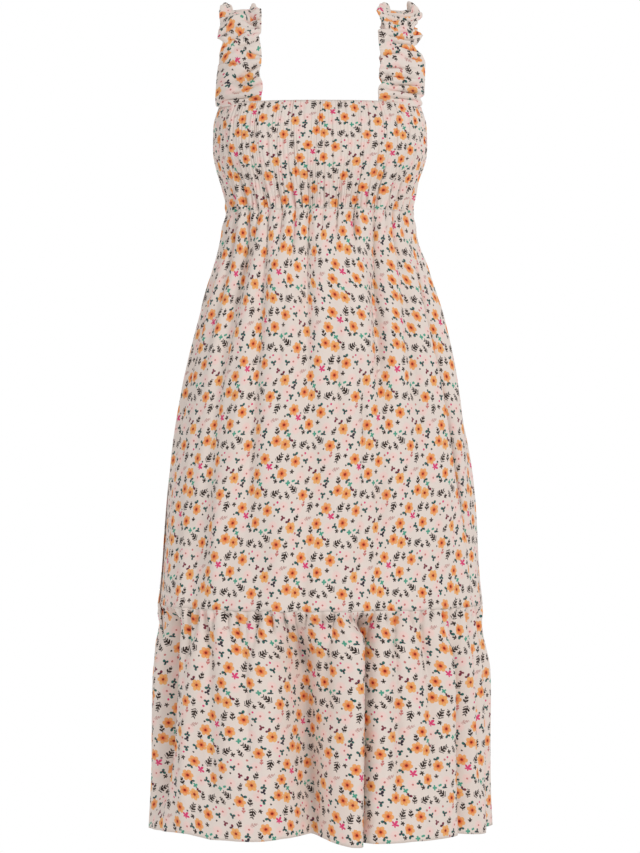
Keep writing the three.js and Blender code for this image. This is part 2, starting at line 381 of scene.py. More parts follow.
def make_sheet(name, cloth, points, closed=False):
    """A grid of cloth laid on those points, with its place on the cut as its UV map in metres."""
    rows, columns = points.shape[0] - 1, points.shape[1] - 1
    bm = bmesh.new()
    bmesh.ops.create_grid(bm, x_segments=columns, y_segments=rows, size=0.5, calc_uvs=False)
    uv_layer = bm.loops.layers.uv.new("UV Map")
    for vert in bm.verts:
        i = round((vert.co.x + 0.5) * columns)
        j = round((0.5 - vert.co.y) * rows)
        vert.co = points[j, i] * MM
        vert.index = j * (columns + 1) + i
    width, length = cloth.across.ravel() * MM, -cloth.down.ravel() * MM
    for face in bm.faces:
        face.smooth = True
        for loop in face.loops:
            k = loop.vert.index
            loop[uv_layer].uv = (width[k], length[k])
    if closed:
        bmesh.ops.remove_doubles(bm, verts=bm.verts, dist=0.001 * MM)
    return add_mesh(name, bm)


def give_thickness(sheet, thickness):
    wall = sheet.modifiers.new("thickness", "SOLIDIFY")
    wall.thickness = thickness * MM
    wall.offset = -1
    wall.use_even_offset = False
    wall.use_rim = True


def stand_for(sheet, node):
    """Puts a sheet of that cut, in millimetres, in the place of the part's plain wall."""
    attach(sheet, "root")
    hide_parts(node)


# The tiers: heights of top and foot, flat width and length of a half's cut, and the grid laid
# on it: rows, columns, and how much closer the rows stand at the top (1 is evenly).
HEIGHTS = {"bodice": (NECK_Z, WAIST_Z), "skirt": (WAIST_Z, TIER_Z), "ruffle": (TIER_Z, HEM_Z)}
CUT = {"bodice": (535, 180), "skirt": (700, 552), "ruffle": (850, 315)}
GRIDS = {"bodice": (42, 880, 1.0), "skirt": (138, 270, 1.35), "ruffle": (84, 320, 1.25)}
# Columns over which a tier's gathers are even, as rows of elastic hold them.
EVENLY_GATHERED = {"bodice": 51}
# Rows under a tier's seam that share out the cut as the row below them does.
DRAWN_AT_SEAM = {"ruffle": 18}
SKIRT_HEIGHT = WAIST_Z - TIER_Z
# How far the front of the hem hangs above its level, or below it, by angle round the body.
HEM_LIFT = [
    (-90, -1), (-76, 3), (-60, 6), (-48, 8), (-38, 4), (-22, 4.5), (-13, 8), (-4, 7), (2, 3),
    (7, -3), (11, -4), (14, 0), (25, 2.5), (45, 3), (55, 4), (65, 0), (90, 0),
]
# The fine pleats of the bodice: how far apart on the cut, how deep, how wide as a share of
# their spacing, and the height over which they are drawn closer above the waist.
SHIRRING = 5.9
SHIRRING_DEPTH = 1.55
SHIRRING_SHARE = 0.2
WAIST_PULL = 65
# The fine gathers at the skirt's and the ruffle's seam: how far apart on the cut.
SKIRT_GATHERS = 10.5
RUFFLE_GATHERS = 9.5
# How much of a long fold counts as a crease that takes up cloth.
FOLDS_TAKE_UP = 0.3
# How far down the waves of a seam reach, and the seeds of the waves and of the swells.
SEAM_WAVE_REACH = 30
WAIST_WAVES, TIER_WAVES = 51, 53
SKIRT_SWELLS, RUFFLE_SWELLS = 12, 22


def swells(cloth, seed, height):
    """Soft irregular swells of the hanging cloth, in millimetres out."""
    return 1.5 * ripple(cloth.degrees * 3.6, height, seed, 48, 420)


def seam_lift(cloth, seed, away):
    """How a gathered seam waves up and down, the same above it and below it, and less and less
    the further away."""
    wave = 0.7 * ripple(cloth.degrees, 0, seed, 13, 100) * np.abs(np.cos(cloth.angle)) ** 0.5
    return wave * (1 - smooth(away / SEAM_WAVE_REACH))


def bodice_points(cloth):
    """The shirred bodice: fine pleats all over, pulled closer and deeper above the waist."""
    rise = cloth.below[-1, 0] - cloth.below
    pull = 1 - smooth(rise / WAIST_PULL)
    wander = 0.45 * ripple(cloth.round_it, cloth.z, 3, 50, 400)
    strength = np.clip(0.85 + 0.5 * ripple(cloth.round_it, cloth.z, 25, 18, 130), 0.4, 1.6)
    valley = np.abs((cloth.round_it / SHIRRING + wander) % 1 - 0.5)
    pleat = -SHIRRING_DEPTH * strength * np.exp(-((0.5 - valley) / SHIRRING_SHARE) ** 2)
    pleat = pleat * (1 + 0.9 * pull) * smooth(rise / 4)
    soft = 0.75 * ripple(cloth.round_it, cloth.z, 26, 17, 150) * (0.6 + 1.4 * pull)
    soft = soft * smooth(rise / 8)
    fanned = []
    for top, _, length, deep, wide in WAIST_CREASES:
        middle = 180 if top > 90 else 0
        fanned.append((top, top + 0.15 * (top - middle), 58 + 0.2 * length, deep, wide))
    gathers, drawn = lay_creases(fanned, cloth, rise)
    creases = pleat + 0.9 * gathers
    return cloth.place(creases + soft, drawn, seam_lift(cloth, WAIST_WAVES, rise)), creases


def skirt_points(cloth):
    """The skirt: gathers and creases under the waist, and long folds down to the tier's seam."""
    out, sideways = lay_folds(SKIRT_FOLDS, cloth, cloth.share)
    out = out * (1.25 - 0.6 * smooth((cloth.share - 0.25) / 0.6))
    wander = 0.5 * ripple(cloth.round_it, cloth.below, 11, 60, 120)
    fine = np.cos(2 * math.pi * (cloth.round_it / SKIRT_GATHERS + wander))
    fine = (fine - 1) * (0.35 + 0.75 * np.exp(-cloth.below / 24)) * np.exp(-cloth.below / 60)
    fine = fine * smooth(cloth.below / 6)
    begun = 1.0 + 0.8 * smooth(cloth.below / 26)
    gathers, drawn = lay_creases(WAIST_CREASES, cloth, cloth.below)
    creases = begun * gathers + fine
    swell = swells(cloth, SKIRT_SWELLS, cloth.below) * smooth(cloth.below / 80)
    puff = 3.8 * smooth(cloth.below / 24) * np.exp(-cloth.below / 90)
    lift = (seam_lift(cloth, WAIST_WAVES, cloth.below)
            + seam_lift(cloth, TIER_WAVES, SKIRT_HEIGHT - cloth.below))
    placed = cloth.place(out + creases + swell + puff, sideways + drawn, lift)
    return placed, creases + FOLDS_TAKE_UP * out


def hem_lift(cloth):
    """How far the hem hangs above or below its level, as the cloth swings."""
    front = np.interp(cloth.degrees, *zip(*HEM_LIFT))
    behind = 2.5 * ripple(cloth.degrees, 0, 24, 30, 100) * smooth((cloth.degrees - 90) / 20)
    behind = behind * smooth((270 - cloth.degrees) / 20)
    return (front + behind) * smooth((cloth.share - 0.35) / 0.65)


def ruffle_points(cloth):
    """The ruffle: it leaves the seam as the skirt's foot does and opens into deep folds."""
    above, above_sideways = lay_folds(SKIRT_FOLDS, cloth, 1.0)
    leaving = 1 - smooth(cloth.share / 0.3)
    out, sideways = lay_folds(RUFFLE_FOLDS, cloth, cloth.share)
    out, sideways = out * smooth(cloth.below / 20), sideways * smooth(cloth.below / 42)
    wander = 0.6 * ripple(cloth.round_it, cloth.below, 21, 50, 90)
    fine = np.cos(2 * math.pi * (cloth.round_it / RUFFLE_GATHERS + wander))
    fine = (fine - 1) * 0.9 * np.exp(-cloth.below / 26) * smooth(cloth.below / 9)
    begun = 0.3 + 0.7 * smooth(cloth.below / 10)
    gathers, drawn = lay_creases(TIER_CREASES, cloth, cloth.below, 60)
    creases = begun * gathers + fine
    swell = swells(cloth, RUFFLE_SWELLS, cloth.below) * (1 - leaving)
    swell = swell + swells(cloth, SKIRT_SWELLS, SKIRT_HEIGHT) * leaving
    puff = 3.4 * smooth(cloth.below / 18) * np.exp(-cloth.below / 70)
    all_out = out + leaving * 0.5 * above + creases + swell + puff
    all_sideways = sideways + leaving * above_sideways + begun * drawn
    lift = hem_lift(cloth) + seam_lift(cloth, TIER_WAVES, cloth.below)
    return cloth.place(all_out, all_sideways, lift), creases + FOLDS_TAKE_UP * out


def tier_creases():
    """Creases under the tier's seam, about 15 to 22 mm apart, each drawn to the nearest fold."""
    random = np.random.default_rng(4)
    creases, degrees = [], -89.0
    while degrees < 270:
        nearest = min(RUFFLE_FOLDS, key=lambda fold: abs(turn_between(degrees, fold[0])))
        drawn = np.clip(turn_between(nearest[0], degrees), -3, 3)
        creases.append((degrees, degrees + 0.6 * drawn, random.uniform(35, 110),
                        random.uniform(5.5, 11.5), random.uniform(3.8, 6)))
        degrees += random.uniform(3.6, 5.6)
    return creases


TIER_CREASES = tier_creases()
SHAPES = {"bodice": bodice_points, "skirt": skirt_points, "ruffle": ruffle_points}
# The thickness of the cloth's shell.
SHELL = 0.6


def make_tier(tier, behind):
    side = "back" if behind else "front"
    cloth = Cloth(tier, behind)
    points = cloth.settle(SHAPES[tier])
    sheet = make_sheet(f"{tier}_{side}_cloth", cloth, points)
    give_thickness(sheet, SHELL)
    stand_for(sheet, f"{tier}_{side}")
    return sheet


# The straps: elastic tubes whose two folded edges stand free as frills. A strap's shares run
# from its front foot over the shoulder to its back foot.
STRAP_SIDES = {"strap_left": 1, "strap_right": -1}
STRAP_SPACING = 225
STRAP_WIDTH = 66
STRAP_RUN = 350
STRAP_CUT = (136, 560)
# Where on the cloth the two straps are cut: the place between them, and how far each is from it.
STRAPS_CUT_FROM, STRAPS_CUT_APART = 3000, 400
STRAP_GRID = (360, 48)
STRAP_SHELL = 0.5
# The height of a strap's top, and how far it falls away outwards over half its width.
STRAP_TOP = -6.5
STRAP_SLOPE = 1
# The rings that a strap follows over the shoulder and at its feet: half width, depth to the
# front and to the back, and how square the ring is; and the share where the feet's ring ends.
STRAP_RING = (152, 99, 87, 3.4)
STRAP_FOOT_RING = (149, 93, 81, 2.7)
STRAP_FOOT = 0.13
# How far the tube stands open, and what runs past each foot, as a share and in millimetres down.
STRAP_PUFF = 3.2
STRAP_OVERRUN = 0.018
STRAP_TUCK = 4
# The wrinkles: how deep and wide they are cut, as multiples of the table's depth and width, on
# the outside and on the lining side, the deepest that they go, and how far they are drawn shut.
WRINKLE_DEPTH, WRINKLE_WIDTH = 2.4, 0.85
LINING_DEPTH, LINING_WIDTH = 1.1, 1.5
WRINKLE_DEEPEST = 12
WRINKLE_SHUT = 0.6

# Free edges of the straps in front and over the top: the share of the strap, how far the
# edge goes out sideways past its usual place, and how far it stands up off the strap.
FRILLS = {
    ("strap_right", -1): [
        (-0.02, -7, 0), (-0.006, -1, 1), (0.004, 1.5, 2), (0.03, 1.5, 3), (0.07, 0, 0),
        (0.11, -2, -2), (0.147, -5, -1), (0.17, -5, 1), (0.20, -8, 2), (0.221, -10.5, 4),
        (0.234, -2, 7), (0.27, -3, 3), (0.325, -6, -1), (0.385, -4, 3), (0.42, -3.5, 8),
        (0.455, -7, 13), (0.485, -14, 13), (0.51, -19, 8), (0.55, -9, 0),
    ],
    ("strap_right", 1): [
        (-0.02, -3, 0), (0.02, -2, 3), (0.038, 0, 4), (0.062, -0.5, 3), (0.088, -6, -2),
        (0.125, -2, 3), (0.17, -2, -3), (0.205, -4, 2), (0.235, -6, 3), (0.262, -3, -2),
        (0.30, -2.5, 4), (0.335, -3.5, -2), (0.375, -2.5, 2), (0.41, -4, 5), (0.435, -6, 3),
        (0.468, -12, 10), (0.50, -16, 8), (0.55, -8, -1),
    ],
    ("strap_left", -1): [
        (-0.02, -2, 0), (0.022, -1.5, 2), (0.03, -1, 3), (0.045, -2, 2), (0.062, -8, -2),
        (0.075, -4, 2), (0.10, -2.5, 3), (0.135, -6, -1), (0.16, -5, -2), (0.20, -2.5, 1),
        (0.25, -1.5, 4), (0.262, -1.5, 4), (0.272, -12, -2), (0.30, -11, 1), (0.345, -5, 3),
        (0.39, 0.5, 6), (0.43, -5, 11), (0.47, -12, 12), (0.505, -16, 7), (0.55, -6, -1),
    ],
    ("strap_left", 1): [
        (-0.02, -9, 0), (-0.004, -4, 2), (0.006, -1, 3), (0.021, -6, -1), (0.034, 1, 3),
        (0.072, 1.5, -1), (0.12, 1.5, 2), (0.147, 2, 3), (0.175, -4, 1), (0.205, -15, -3),
        (0.222, -8, 2), (0.2554, -1, 4), (0.275, -6, 0), (0.305, -15, -4), (0.335, -9, 2),
        (0.384, -1, 4), (0.425, -9, 12), (0.465, -20, 17), (0.50, -17, 8), (0.55, -6, -1),
    ],
}

# Wrinkles across the straps: share of the strap, slant (share of the strap from one edge to
# the other), middle and half length across (-1 to 1), depth and width in millimetres. A
# negative depth is a puff.
WRINKLES = {
    "strap_right": [
        (0.012, 0.004, -0.1, 0.9, 4.0, 2.6), (0.043, 0.05, 0.37, 0.65, 5.6, 3.2),
        (0.066, 0.078, 0.39, 0.5, 5.2, 3.0), (0.086, 0.09, 0.17, 0.55, 5.0, 3.2),
        (0.108, 0.05, 0.6, 0.4, 3.4, 3.0), (0.135, -0.03, -0.5, 0.5, 2.4, 3.6),
        (0.165, -0.04, 0.65, 0.4, 3.6, 3.2), (0.205, 0.04, 0.35, 0.5, 3.4, 3.4),
        (0.246, 0.10, -0.05, 0.3, 5.6, 2.8), (0.268, 0.125, -0.62, 0.4, 5.4, 3.4),
        (0.330, 0.0, -0.1, 0.45, -5.0, 9.0), (0.298, -0.10, 0.6, 0.3, 5.6, 2.8),
        (0.335, 0.09, 0.6, 0.32, 5.6, 2.8), (0.357, -0.04, 0.5, 0.36, 4.6, 2.6),
        (0.385, 0.05, -0.25, 0.55, 5.4, 3.4), (0.425, 0.03, -0.2, 0.6, 4.6, 3.4),
        (0.462, 0.0, 0.1, 0.7, 4.6, 3.4),
    ],
    "strap_left": [
        (0.012, 0.0, 0.1, 0.8, 4.4, 2.4), (0.036, -0.006, 0.1, 0.75, 6.0, 2.6),
        (0.058, 0.006, 0.15, 0.65, 5.6, 2.6), (0.082, -0.01, -0.1, 0.6, 4.2, 3.0),
        (0.113, 0.0, -0.25, 0.55, 4.2, 3.2), (0.15, -0.03, 0.55, 0.4, 3.4, 3.4),
        (0.165, 0.03, -0.5, 0.4, 4.0, 3.2), (0.192, -0.03, 0.3, 0.6, 6.0, 3.2),
        (0.213, -0.018, 0.1, 0.5, 5.2, 2.4), (0.234, -0.018, 0.1, 0.5, 6.0, 2.8),
        (0.264, -0.03, 0.35, 0.5, 4.6, 3.2), (0.286, 0.02, -0.4, 0.4, 3.8, 3.2),
        (0.312, -0.035, 0.1, 0.7, 6.0, 3.4), (0.344, -0.02, 0.0, 0.7, 5.0, 3.4),
        (0.377, 0.0, -0.05, 0.7, 6.2, 3.2), (0.408, 0.01, 0.1, 0.6, 4.4, 3.0),
        (0.437, 0.0, -0.1, 0.7, 6.0, 3.2), (0.47, 0.0, 0.0, 0.8, 4.4, 3.2),
    ],
}
BACK_WRINKLE_COUNT = 21
BACK_FRILL_COUNT = 17


def back_wrinkles():
    """Rows for the wrinkles down the back of both straps, alike but uneven."""
    rows = []
    for k in range(BACK_WRINKLE_COUNT):
        middle = 0.505 + 0.0235 * k + 0.005 * math.sin(5 * k)
        slant = 0.03 * math.sin(2.3 * k)
        deep = 4.8 + 1.4 * math.sin(3.1 * k)
        rows.append((middle, slant, 0.35 * math.cos(1.7 * k), 0.65, deep, 3.1))
    return rows


def corners(rows, share):
    """A table of points joined by nearly straight lines, so that its corners stay crisp."""
    rows = np.array(rows)
    places, beside = 1200, 9
    fine = np.linspace(rows[0, 0], rows[-1, 0], places)
    softness = np.ones(2 * beside + 1) / (2 * beside + 1)
    columns = []
    for k in (1, 2):
        values = np.interp(fine, rows[:, 0], rows[:, k])
        padded = np.pad(values, beside, mode="edge")
        columns.append(np.interp(share, fine, np.convolve(padded, softness, mode="valid")))
    return columns


def back_frill(share, side):
    """The free edges down the back of a strap: out and up, as uneven soft frills."""
    turn = 2 * math.pi * BACK_FRILL_COUNT * (share - 0.5)
    turn = turn + 1.3 * side + 1.6 * np.sin(19 * share + side)
    alive = smooth((share - 0.52) / 0.05) * (0.65 + 0.35 * np.sin(31 * share + 2 * side))
    return alive * (-3.5 + 3.5 * np.cos(turn)), alive * 4.2 * np.sin(turn)


def between(a, b, share):
    return a + (b - a) * share


def ring_depth(ring, behind, x):
    """How deep a ring is in front (0) or behind (1), at a distance x from its middle."""
    half, *depths, square = ring
    reach = np.clip(1 - np.abs(x / half) ** square, 0, 1)
    return depths[behind] * reach ** (1 / square)


def strap_depth(behind, x, at_foot):
    over = ring_depth(STRAP_RING, behind, x)
    return between(over, ring_depth(STRAP_FOOT_RING, behind, x), at_foot)


def strap_points(name, side, rows, columns):
    """The outside of a strap's tube: rows along it, and columns round it that close up."""
    share = np.linspace(-STRAP_OVERRUN, 1 + STRAP_OVERRUN, rows + 1)[:, None]
    round_it = np.linspace(0, 2 * math.pi, columns + 1)[None, :]
    across = -np.cos(round_it)
    loose = smooth((np.abs(across) - 0.3) / 0.7)
    from_foot = np.minimum(share, 1 - share)
    held = smooth(from_foot / 0.016)
    out, up = 0, 1.5 * held
    for edge in (-1, 1):
        edge_out, edge_up = corners(FRILLS[name, edge], share)
        back_out, back_up = back_frill(share, edge)
        here = np.where(across * edge > 0, loose, 0)
        out = out + edge * here * (edge_out + back_out)
        up = up + here * (edge_up + back_up)
    outside = smooth(0.5 + np.sin(round_it))
    run, crease, lining = share, 0, 0
    for middle, slant, centre, half, deep, wide in WRINKLES[name] + back_wrinkles():
        off = (share - middle - slant * (across - centre) / 2) * STRAP_RUN / (WRINKLE_WIDTH * wide)
        alive = np.exp(-np.abs((across - centre) / half) ** 4)
        crease = crease + WRINKLE_DEPTH * deep * alive * np.exp(-np.abs(1.15 * off) ** 1.4)
        lining = lining + LINING_DEPTH * deep * alive * np.exp(-(off / LINING_WIDTH) ** 2)
        if deep > 0:
            shut = WRINKLE_SHUT * wide / STRAP_RUN * alive * off * np.exp(-off ** 2)
            run = run - outside * shut
    up = up - between(lining, WRINKLE_DEEPEST * np.tanh(crease / WRINKLE_DEEPEST), outside)
    up = up + held * 1.2 * ripple(share * STRAP_RUN, across * STRAP_WIDTH / 2, 31 + side, 11, 45)
    x = side * STRAP_SPACING / 2 + across * STRAP_WIDTH / 2 + out
    turn = math.pi * np.clip(run, 0, 1)
    at_foot = 1 - smooth(from_foot / STRAP_FOOT)
    front, back = -strap_depth(0, x, at_foot), strap_depth(1, x, at_foot)
    radius = (back - front) / 2
    rise = STRAP_TOP - side * across * STRAP_SLOPE - NECK_Z
    normal_y, normal_z = -np.cos(turn) * rise, np.sin(turn) * radius
    size = np.hypot(normal_y, normal_z)
    puff = STRAP_PUFF * (0.25 + 0.75 * held) * np.sin(round_it)
    away = up * held + puff
    y = (front + back) / 2 - radius * np.cos(turn) + away * normal_y / size
    tucked = np.clip(-from_foot, 0, 1) * STRAP_TUCK / STRAP_OVERRUN
    z = NECK_Z + rise * np.sin(turn) + away * normal_z / size - tucked
    return np.stack([x, y, z], axis=-1)


def make_strap(name, side):
    points = strap_points(name, side, *STRAP_GRID)
    cloth = Strip(points, STRAP_CUT, STRAPS_CUT_FROM + STRAPS_CUT_APART * side)
    sheet = make_sheet(f"{name}_cloth", cloth, points, closed=True)
    give_thickness(sheet, STRAP_SHELL)
    stand_for(sheet, name)
    return sheet


# Materials. Groups work in millimetres of cloth and give out masks, colours and values.
def new_group(name, inputs, outputs):
    group = bpy.data.node_groups.new(name, "ShaderNodeTree")
    for side, sockets in (("INPUT", inputs), ("OUTPUT", outputs)):
        for socket, kind in sockets:
            group.interface.new_socket(name=socket, in_out=side, socket_type=f"NodeSocket{kind}")
    return group


class Nodes:
    """Short ways to add and link nodes in one tree."""

    def __init__(self, tree):
        self.tree = tree
        if tree.interface.items_tree:
            self.start = tree.nodes.new("NodeGroupInput").outputs
            self.end = tree.nodes.new("NodeGroupOutput").inputs

    def put(self, socket, value):
        if isinstance(value, bpy.types.NodeSocket):
            self.tree.links.new(value, socket)
        else:
            socket.default_value = value

    def add(self, kind, inputs=(), **settings):
        """A node with its settings made and its inputs, by name or number, set or linked."""
        node = self.tree.nodes.new("ShaderNode" + kind)
        for name, value in settings.items():
            setattr(node, name, value)
        for socket, value in dict(inputs).items():
            self.put(node.inputs[socket], value)
        return node

    def math(self, operation, *values):
        return self.add("Math", enumerate(values), operation=operation).outputs[0]

    # Plain names for the sums that the groups below are made of.
    plus = partialmethod(math, "ADD")
    minus = partialmethod(math, "SUBTRACT")
    times = partialmethod(math, "MULTIPLY")
    over = partialmethod(math, "DIVIDE")
    power = partialmethod(math, "POWER")
    wrap = partialmethod(math, "FLOORED_MODULO")
    floor = partialmethod(math, "FLOOR")
    size = partialmethod(math, "ABSOLUTE")
    larger = partialmethod(math, "MAXIMUM")
    above = partialmethod(math, "GREATER_THAN")

    def vector(self, operation, *values, output="Vector"):
        return self.add("VectorMath", enumerate(values), operation=operation).outputs[output]

    def length(self, value):
        return self.vector("LENGTH", value, output="Value")

    def scaled(self, value, scale):
        inputs = {"Vector": value, "Scale": scale}
        return self.add("VectorMath", inputs, operation="SCALE").outputs["Vector"]

    def split(self, value):
        return self.add("SeparateXYZ", {0: value}).outputs

    def join(self, x, y, z=0.0):
        return self.add("CombineXYZ", enumerate((x, y, z))).outputs[0]

    def turn(self, value, angle):
        inputs = {"Vector": value, "Angle": angle}
        return self.add("VectorRotate", inputs, rotation_type="Z_AXIS").outputs[0]

    def soft_step(self, value, low, high):
        """0 below low, 1 above high, smooth between; low may be above high."""
        inputs = enumerate((value, low, high, 0.0, 1.0))
        return self.add("MapRange", inputs, interpolation_type="SMOOTHSTEP").outputs[0]

    def mix(self, share, a, b):
        """From colour a to colour b."""
        return self.add("Mix", {0: share, 6: a, 7: b}, data_type="RGBA").outputs[2]

    def blend(self, share, a, b):
        """From number a to number b."""
        return self.add("Mix", {0: share, 2: a, 3: b}).outputs[0]

    def chart(self, value, rows):
        """The four numbers of the row that value falls in, as it goes from 0 to 1 down them, and
        the first three as a colour."""
        node = self.add("ValToRGB", {0: value})
        ramp = node.color_ramp
        ramp.interpolation = "CONSTANT"
        for k, row in enumerate(rows):
            stop = ramp.elements[k] if k < 2 else ramp.elements.new(k / len(rows))
            stop.position, stop.color = k / len(rows), row
        split = self.add("SeparateColor", {0: node.outputs["Color"]})
        return (*split.outputs[:3], node.outputs["Alpha"], node.outputs["Color"])

    def noise(self, point, scale, detail=2.0, roughness=0.5, output="Fac"):
        inputs = {"Vector": point, "Scale": scale, "Detail": detail, "Roughness": roughness}
        return self.add("TexNoise", inputs, noise_dimensions="2D").outputs[output]

    def wobble(self, point, scale, size):
        """Small irregular shifts of a point, so that drawn shapes look hand made."""
        noise = self.noise(point, scale, output="Color")
        return self.scaled(self.vector("SUBTRACT", noise, (0.5, 0.5, 0.5)), size)

    def group(self, group, **values):
        return self.add("Group", values, node_tree=group).outputs


def new_material(name):
    """A material, a way to add nodes to it, and its shader."""
    material = bpy.data.materials.new(name)
    material.use_nodes = True
    n = Nodes(material.node_tree)
    return material, n, n.tree.nodes["Principled BSDF"]


def colour(red, green, blue):
    """A colour given as the eye reads it, from 0 to 255, as the shader's own numbers."""
    values = [c / 255 for c in (red, green, blue)]
    return (*(c / 12.92 if c < 0.04045 else ((c + 0.055) / 1.055) ** 2.4 for c in values), 1)


CLOTH = colour(238, 226, 218)
SHADED_CLOTH = colour(214, 180, 166)
CHARCOAL = colour(22, 15, 15)
NAVY = colour(26, 28, 50)
PLUM = colour(120, 35, 62)
TEAL = colour(20, 105, 98)
SEA_GREEN = colour(70, 165, 140)
MAGENTA = colour(226, 62, 122)
DUSKY = colour(203, 118, 116)
FADED = colour(206, 168, 162)
PETAL = colour(246, 177, 110)
PALE_PETAL = colour(246, 184, 112)
HALO = colour(238, 114, 64)
HEART = colour(138, 16, 4)
BLUSH = colour(250, 216, 210)


# The print is a small repeat, given as a chart: the repeat's width and height, then its motifs
# from the lowest row up and from left to right, each in a cell of its own. Every row of cells
# starts half a cell further left. A motif has a kind, its place right and up from the middle
# of its cell, and its turn in degrees. Every other repeat across is dropped by half its height.
REPEAT = (70, 134)
LARGE_COLUMNS, LARGE_ROWS = 3, 6
LARGE_KINDS = ("marigold", "pale marigold", "blossom", "tuft")
LARGE_MOTIFS = [
    ("marigold", 4.5, 3, 200), ("pale marigold", -5.5, -1.5, 40), ("tuft", -1, -2, 30),
    ("blossom", 1, 3, -110), ("marigold", 1, 2.5, -60), ("blossom", -3.5, -3, 15),
    ("blossom", 3, 0, 190), ("tuft", -1, 3.5, 250), ("marigold", 2, 1, 230),
    ("tuft", 4, 4, 140), ("marigold", -3, -3.5, 50), ("blossom", -1, 3, -40),
    ("marigold", -5.5, 3.5, -80), ("blossom", 1, -1, 250), ("pale marigold", 5, -3, 120),
    ("tuft", 0, 1.5, 60), ("marigold", 2, -2.5, 100), ("blossom", 3, 3.5, 215),
]
SMALL_COLUMNS, SMALL_ROWS = 4, 8
SMALL_MOTIFS = [
    ("dot", -6, -5.5, 0), ("none", 0, 0, 0), ("fern", -0.3, 1, 80), ("cluster", 5, -3.5, 20),
    ("arrow", -4, -4.4, 60), ("olive", -2, 2, 100), ("clover", -2, -2.8, 30),
    ("cluster", 4.5, 0.9, 160),
    ("olive", -2, 1, 60), ("faded fern", 0, 1, 15), ("dot", -2.2, 6.2, 0), ("hand", 0.7, 3.3, 50),
    ("berry", -2.5, 5.9, 0), ("comb", -0.5, 4, 80), ("cluster", 4.8, 3.4, 280),
    ("none", 0, 0, 0),
    ("fern", -2.2, -1.4, 120), ("dot", -3.7, -4.9, 0), ("olive", 1.8, -1.9, 75),
    ("bright berry", -1.7, -6, 0),
    ("clover", 5.3, -1, 0), ("diamond", -4, 2, 20), ("fern", 1, 2, 60), ("berry", 6.8, -2.6, 0),
    ("cluster", -4.7, 4.3, 200), ("cluster", 0.8, -3, 90), ("dot", -0.7, 4.6, 0),
    ("plum arrow", -5.1, 2.1, 240),
    ("dot", -4, -6.3, 0), ("olive", 0.3, -1, 85), ("berry", 6.1, 3, 0),
    ("bright berry", -6.5, 6, 0),
]
SMALL_KINDS = [
    # sprigs: kind, length, width, pitch of the leaflets, 0, colour
    ("fern", 11.4, 7.2, 4.1, 0, CHARCOAL), ("olive", 10.8, 8.2, 4.4, 0, CHARCOAL),
    ("faded fern", 11, 6, 4.0, 0, FADED), ("comb", 8.6, 5.4, 3.8, 0, DUSKY),
    # rosettes: kind, radius, lobes, depth of the notches, lean, colour
    ("cluster", 3.3, 5, 0.68, 0.25, CHARCOAL), ("hand", 5.4, 5, 0.72, 0.3, MAGENTA),
    ("clover", 3.8, 4, 0.6, 0.1, SEA_GREEN), ("diamond", 2.6, 2, 0.55, 0, SEA_GREEN),
    ("arrow", 4.2, 3, 0.8, 0.2, NAVY), ("plum arrow", 3.9, 3, 0.8, 0.2, PLUM),
    ("dot", 1.4, 3, 0.25, 0.1, CHARCOAL), ("berry", 1.6, 3, 0.1, 0, DUSKY),
    ("bright berry", 1.6, 3, 0.1, 0, MAGENTA), ("none", 0, 1, 0, 0, CLOTH),
]
# How many of the small kinds, from the first, are sprigs.
SPRIG_KINDS = 4
# The charts hold numbers from 0 to 1, so lengths in them are shares of this span.
CHART_SPAN = 20


def kind_code(kind, kinds):
    """The number that stands for a kind in a chart."""
    return (kinds.index(kind) + 0.5) / len(kinds)


def cell_group(name, columns, rows, motifs, kinds):
    """The cell of the repeat that a point lies in: the point as its motif has it, and the kind."""
    group = new_group(name, [("Point", "Vector")], [("Spot", "Vector"), ("Kind", "Float")])
    n = Nodes(group)
    width, height = REPEAT[0] / columns, REPEAT[1] / rows
    x, y, _ = n.split(n.start["Point"])
    up = n.over(y, height)
    row = n.floor(up)
    along_row = n.plus(n.over(x, width), n.times(row, 0.5))
    column = n.floor(along_row)
    repeat = n.floor(n.over(column, columns))
    drop = n.times(n.wrap(repeat, 2.0), rows / 2)
    chart_row = n.wrap(n.plus(row, drop), rows)
    chart_column = n.wrap(column, columns)
    index = n.plus(chart_column, n.times(chart_row, columns))
    rows_of_chart = [(0.5 + right / CHART_SPAN, 0.5 + above / CHART_SPAN, (turn % 360) / 360,
                      kind_code(kind, kinds)) for kind, right, above, turn in motifs]
    place = n.over(n.plus(index, 0.5), len(motifs))
    right, above, turn, kind, _ = n.chart(place, rows_of_chart)
    middle_x = n.times(n.minus(right, 0.5), CHART_SPAN)
    middle_y = n.times(n.minus(above, 0.5), CHART_SPAN)
    cell_x = n.times(n.minus(n.minus(along_row, column), 0.5), width)
    cell_y = n.times(n.minus(n.minus(up, row), 0.5), height)
    spot = n.join(n.minus(cell_x, middle_x), n.minus(cell_y, middle_y))
    n.put(n.end["Spot"], n.turn(spot, n.times(turn, -2 * math.pi)))
    n.put(n.end["Kind"], kind)
    return group


